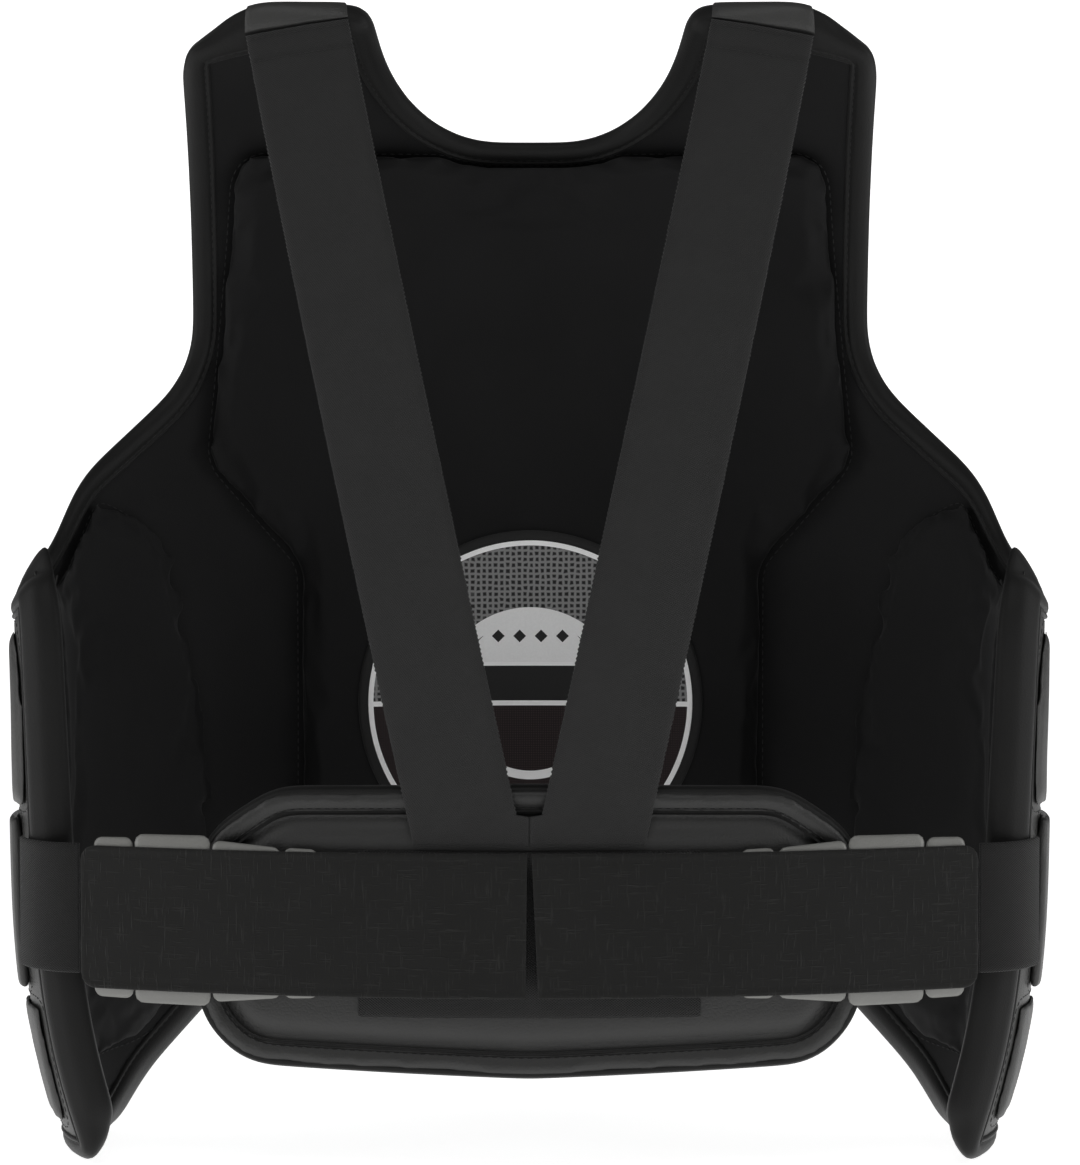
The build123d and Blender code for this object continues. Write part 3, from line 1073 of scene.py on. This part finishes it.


# %% [markdown]
# Two wide elastic straps run from the shoulders to the lumbar rest in a V. Alternate rows
# step in and out at the edges, which gives the webbing its fine saw-tooth edge. At the top
# the strap doubles into a hem and a leather fold carries it over the bound shoulder. The
# strap and its seam keep their place and are not parented to the harness.

# %% Shoulder straps
strap_foot = (28.5 * MM, 37.3 * MM)
strap_slope = 0.219
strap_half = 25.9 * MM
strap_merge_z = 52 * MM
strap_hem = 12 * MM
strap_thickness, fold_thickness = 2.2 * MM, 1.4 * MM
strap_rows = 372
strap_teeth = 0.36 * MM
strap_above = 0.445
behind_y = -0.4
fold_steps, fold_step = 18, 1.2 * MM
strap_bend = ((0, -0.012, 0.428), (0, -0.012, 0.385))
for side, sign in (("left", -1), ("right", 1)):
    node = "shoulder_strap_" + side
    tree = cad_tree(node)

    def strap_hit(x, z):
        return tree.ray_cast(Vector((sign * x, behind_y, z)), forward)

    def strap_x(u, z):
        return strap_foot[0] + strap_slope * (z - strap_foot[1]) + u * (strap_half - 0.1 * MM)

    columns = []
    for u in spread(15, 0.02):
        inner = min(max(u, -0.995), 0.995)
        top = strap_above
        while strap_hit(strap_x(inner, top), top)[0] is None:
            top -= 0.25 * MM
        column = []
        for row in range(strap_rows):
            z = strap_foot[1] + (top - 0.3 * MM - strap_foot[1]) * row / (strap_rows - 1)
            hit, normal = strap_hit(strap_x(inner, z), z)[:2]
            uneven = 0.5 + abs(noise.noise(Vector((u, 0, z * 400))))
            tooth = strap_teeth * (1 if row % 2 else -1) * uneven
            x = strap_x(u, z) + (math.copysign(tooth, u * tooth) if abs(u) > 0.97 else 0.0)
            if u < 0 and z < strap_merge_z:
                x = min(x, 0.05 * MM + (u + 1) * strap_half)
            hem = min(1.0, max(0.0, (z - top + strap_hem) / (0.9 * MM)))
            column.append((Vector((sign * x, hit.y, z)) + normal * 1.1 * MM * hem, normal))
        columns.append(column)
    grid = [[column[row][0] for column in columns] for row in range(strap_rows)]
    normals = [[column[row][1] for column in columns] for row in range(strap_rows)]
    sheet = thin_sheet(grid, normals, strap_thickness)
    strap = new_piece("strap_" + side, sheet, finishes["strap_" + side])
    settle(strap, "back_harness", "elastic_webbing", node, bend=strap_bend)
    tape_skin = piece_surface("tape_neck_binding", "tape_armhole_binding_" + side)
    fold_rows, fold_ways = [], []
    here = [grid[-1][c] + normals[-1][c] * 0.5 * MM for c in range(len(columns))]
    ways = [Vector((0, 0, 1))] * len(here)
    for step in range(fold_steps):
        hits = [tape_skin.find_nearest(point)[:2] for point in here]
        fold_rows.append([near + normal * (1.0 if step else 1.6) * MM for near, normal in hits])
        fold_ways.append([normal for near, normal in hits])
        ways = [(way - normal * way.dot(normal)).normalized()
                for way, (near, normal) in zip(ways, hits)]
        here = [near + way * fold_step for (near, normal), way in zip(hits, ways)]
    sheet = thin_sheet(fold_rows, fold_ways, fold_thickness)
    settle(new_piece("shoulder_fold_" + side, sheet, finishes["shell"]), "shell", "shell_leather")
    bm = bmesh.new()
    for row in (strap_rows - 4, strap_rows - 14):
        line = [grid[row][c] + normals[row][c] * 0.25 * MM for c in range(1, len(grid[row]) - 1)]
        add_stitches(bm, line, normals[row][1:], 3.2 * MM, 2.3 * MM)
    seam = new_piece("strap_seam_" + side, bm, finishes["thread"])
    settle(seam, "back_harness", "binding_tape", bend=strap_bend)
    print(side, "strap ends at", round(top, 4))

# %% [markdown]
# ## Belt
#
# The belt closes with two flaps faced in loop fabric. Each lies on a large cylinder, as the
# belt does on the wearer, so its points are worked out and not sought with rays. A shallow
# line near the edge stands for the seam, and a slow noise keeps the cloth from looking
# stamped.

# %% Belt flaps
back_axis_y = 0.480
flap_radius = 608.3 * MM
flap_thickness = 1.4 * MM
seam_inset, seam_width = 4 * MM, 0.9 * MM
flap_slant = {"left": 0.8 * MM, "right": 3.2 * MM}
belt_z, belt_half = 0.2 * MM, 34 * MM
belt_start, belt_end, belt_corner = 1.0 * MM, 213.4 * MM, 7 * MM
for side, sign in (("left", -1), ("right", 1)):
    slant = flap_slant[side]
    grid, normals = [], []
    for v in spread(46, 0.02):
        row, ways = [], []
        for u in spread(150, 0.006):
            start = belt_start + slant * (0.5 - 0.5 * v)
            x = start + (belt_end - start) * (0.5 + 0.5 * u)
            over = max(0.0, x - (belt_end - belt_corner))
            half = belt_half - belt_corner + math.sqrt(max(0.0, belt_corner ** 2 - over ** 2))
            z = belt_z + half * v
            inset = min(half * (1 - abs(v)), belt_end - x, x - start)
            seam = math.exp(-((inset - seam_inset) / seam_width) ** 2)
            relief = 0.25 * noise.noise(Vector((x * 30, z * 60, sign))) - 0.3 * seam
            reach = flap_radius + relief * MM
            out = Vector((sign * x / flap_radius, -math.sqrt(1 - (x / flap_radius) ** 2), 0))
            row.append(Vector((0, back_axis_y, z)) + out * reach)
            ways.append(out)
        grid.append(row)
        normals.append(ways)
    flap = new_piece("flap_" + side, thin_sheet(grid, normals, flap_thickness), finishes["linen"])
    settle(flap, "flap_" + side, "loop_fabric", "flap_face_" + side)
    print(side, "flap:", len(flap.data.polygons), "faces")

# %% [markdown]
# An elastic band comes out of each flank, goes round the shell's rear edge and carries the
# belt. Only the part that can be seen is made. Rays in a fan around the edge find the
# band's path, and ribs step in and out along it.

# %% Side bands
band_z, band_half = 4 * MM, 31 * MM
band_seen_y = -0.058
band_thickness, band_rib = 2.1 * MM, 0.12 * MM
fan_steps, fan_start, fan_step = 1201, 30, 0.12
for side, sign in (("left", -1), ("right", 1)):
    node = "side_band_" + side
    tree = cad_tree(node)
    centre = Vector((sign * 0.205, -0.045, band_z))
    found = []
    for step in range(fan_steps):
        angle = math.radians(fan_start - step * fan_step)
        way = Vector((sign * math.cos(angle), math.sin(angle), 0))
        near, normal = tree.ray_cast(centre + way * 0.1, -way)[:2]
        if near is not None and abs(normal.z) < 0.5:
            found.append((near, normal))
    seen = [hit for hit in found if hit[0].y < band_seen_y]
    path = seen[2:-2:max(1, len(seen) // 90)]
    grid = [[near + Vector((0, 0, band_half * v)) - normal * band_rib * (index % 2)
             for index, (near, normal) in enumerate(path)] for v in spread(24, 0.02)]
    normals = [[normal for near, normal in path] for row in grid]
    band = new_piece("band_" + side, thin_sheet(grid, normals, band_thickness), finishes["band"])
    settle(band, "shell", "elastic_webbing", node)
    print(side, "band:", len(path), "ribs")

# %% [markdown]
# Four pieces of paler leather back each flap and stand a little proud above and below the
# loop fabric. They are separate, with narrow gaps between them, so that the flap can bend.
# They are laid directly, because a voxel remesh would close the gaps. Each has rounded
# corners and a slight swell.

# %% Leather segments of the flaps
segment_corner, segment_margin = 4 * MM, 0.2 * MM
segment_thickness, segment_swell = 1.3 * MM, 0.5 * MM
segment_plan = [
    # outer x, inner x, half height at the outer end, half height at the inner end
    (207.0, 188.0, 38.0, 38.4),
    (187.0, 150.5, 40.1, 40.4),
    (149.5, 116.5, 38.4, 35.4),
    (115.5, 99.0, 35.6, 35.0),
]
for side, sign in (("left", -1), ("right", 1)):
    node = "flap_segments_" + side
    tree = cad_tree(node)
    parts = []
    for outer_x, inner_x, outer_half, inner_half in segment_plan:
        span = (outer_x - inner_x) * MM
        grid, normals = [], []
        for v in spread(20, 0.04):
            row, ways = [], []
            for u in spread(18, 0.04):
                along = span * (u + 1) / 2
                x = outer_x * MM - along
                over = max(0.0, segment_corner - min(along, span - along))
                half = (outer_half + (inner_half - outer_half) * along / span) * MM
                half -= segment_corner - math.sqrt(segment_corner ** 2 - over ** 2)
                inside = min(max(x, inner_x * MM + segment_margin), outer_x * MM - segment_margin)
                start = Vector((sign * inside, behind_y, belt_z))
                hit, normal = tree.ray_cast(start, forward)[:2]
                swell = segment_swell * (1 - max(abs(u), abs(v)) ** 6)
                row.append(Vector((sign * x, hit.y, belt_z + half * v)) + normal * swell)
                ways.append(normal)
            grid.append(row)
            normals.append(ways)
        parts.append(thin_sheet(grid, normals, segment_thickness))
    settle(new_piece("segments_" + side, merged(parts), finishes["segment"]), "flap_" + side,
           "segment_leather", node)
    print(side, "flap:", len(parts), "segments")

# %% [markdown]
# Hook tape lines the back of each flap and lies under it on the lumbar rest. The strips are
# plain, so a remeshed copy of the solid is enough, and the finish carries the hooks.

# %% Hook tapes
for node, body, voxel in (("hook_panel", "back_harness", 0.9),
                          ("flap_hook_left", "flap_left", 1.0),
                          ("flap_hook_right", "flap_right", 1.0)):
    strip = soft_copy("strip_" + node, [node], finishes["hook"], voxel * MM, 3)
    settle(strip, body, "hook_tape", node)
    print(node, len(strip.data.polygons), "faces")

# %% [markdown]
# ## Camera, light and stage
#
# A long lens stands behind the wearer, so that near and far parts keep their proportions.
# The object is dark, so the view transform is plain and adds no contrast of its own.

# %% Camera
belt_plane_y = -0.118
camera_distance = 2.0
camera_x, camera_z, aim_z = 0.0050, 0.2655, 0.1605
camera_data = bpy.data.cameras.new("camera")
camera_data.lens = 132.6
camera_data.sensor_width = 36.0
camera_data.clip_start = 0.1
camera = bpy.data.objects.new("camera", camera_data)
scene.collection.objects.link(camera)
camera.location = (camera_x, belt_plane_y - camera_distance, camera_z)
aim = Vector((camera_x, belt_plane_y, aim_z))
camera.rotation_euler = (aim - camera.location).to_track_quat("-Z", "Y").to_euler()
scene.camera = camera
scene.view_settings.view_transform = "Standard"
print("camera at", [round(v, 3) for v in camera.location])

# %% [markdown]
# Black leather shows only what it mirrors. A key light above gives the pads their form, and
# two tall soft lights at the sides draw a thin edge on straps and tape. Lighting the inside
# directly would flatten it, so the hollow of the shell is left dark.

# %% Light
world = bpy.data.worlds.new("studio")
world.use_nodes = True
world.node_tree.nodes["Background"].inputs["Color"].default_value = (1, 1, 1, 1)
world.node_tree.nodes["Background"].inputs["Strength"].default_value = 0.16
scene.world = world


def soft_light(name, place, target, size, power):
    data = bpy.data.lights.new(name, "AREA")
    data.shape = "RECTANGLE"
    data.size, data.size_y = size
    data.energy = power
    lamp = bpy.data.objects.new(name, data)
    scene.collection.objects.link(lamp)
    lamp.location = place
    lamp.rotation_euler = (Vector(target) - Vector(place)).to_track_quat("-Z", "Y").to_euler()


soft_light("key", (0.0, -1.7, 2.0), (0, 0, 0.1), (1.6, 1.0), 11)
soft_light("left", (-1.7, -0.4, 0.6), (0, 0, 0.1), (0.6, 1.6), 9)
soft_light("right", (1.7, -0.4, 0.6), (0, 0, 0.1), (0.6, 1.6), 9)

# %% [markdown]
# A floor curves up into a backdrop in front of the wearer, as a paper sweep does in a
# studio. It glows a little, so that it stays white, and it is narrow further back, so that
# the flanks don't catch a strong glare at grazing angles.

# %% Stage
floor_z = cad_box[0][2] - 0.001
curve_y, curve_radius = 3.7, 0.5
profile = [(-3.5, 0.0), (0.8, 0.0), (1.2, 0.0), (curve_y, 0.0)]
for step in range(1, 8):
    turn = step * math.pi / 16
    profile.append((curve_y + curve_radius * math.sin(turn), curve_radius * (1 - math.cos(turn))))
profile += [(curve_y + curve_radius, curve_radius), (curve_y + curve_radius, 1.5)]
widths = [2.0, 2.0] + [0.95] * (len(profile) - 2)
bm = skin([[Vector((way * width, y, floor_z + z)) for (y, z), width in zip(profile, widths)]
           for way in (-1, 1)], closed=False)
stage_finish = Finish("stage")
sheet = new_piece("stage_sheet", bm, stage_finish.finish(
    Base_Color=grey(0.8), Roughness=0.9, Emission_Color=grey(1.0), Emission_Strength=0.9))
print("stage:", len(profile), "lines")
